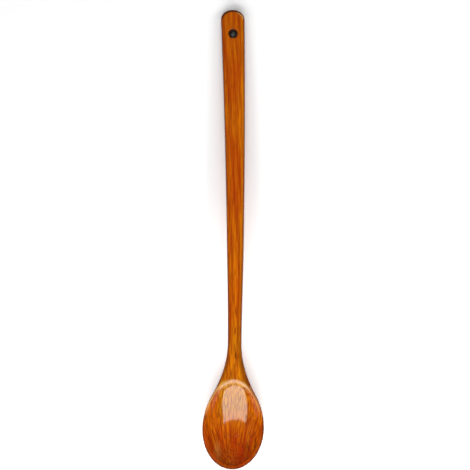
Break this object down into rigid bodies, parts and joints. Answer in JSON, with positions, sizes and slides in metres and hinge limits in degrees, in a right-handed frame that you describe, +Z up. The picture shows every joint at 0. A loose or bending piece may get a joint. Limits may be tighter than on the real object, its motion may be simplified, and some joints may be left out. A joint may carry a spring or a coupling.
{
  "type": "wooden spoon",
  "caption": "Long-handled mixing spoon carved from one piece of lacquered wood, with an oval hollowed bowl, a slim arched handle and a hanging hole in its rounded tail.",
  "frame": {"origin": "middle of the footprint of the whole spoon as it lies on a table, on the table's surface", "axes": "+Y along the spoon from the tip of the bowl to the tail with the hanging hole, +Z up, out of the open side of the bowl, +X across the bowl; the spoon is symmetric across the YZ plane"},
  "size_m": [0.044, 0.33, 0.0185],
  "materials": {
    "lacquered_wood": "gloss lacquer over orange-brown wood with fine dark pores"
  },
  "bodies": {
    "root": {"carved_spoon": "lacquered_wood"}
  },
  "joints": []
}
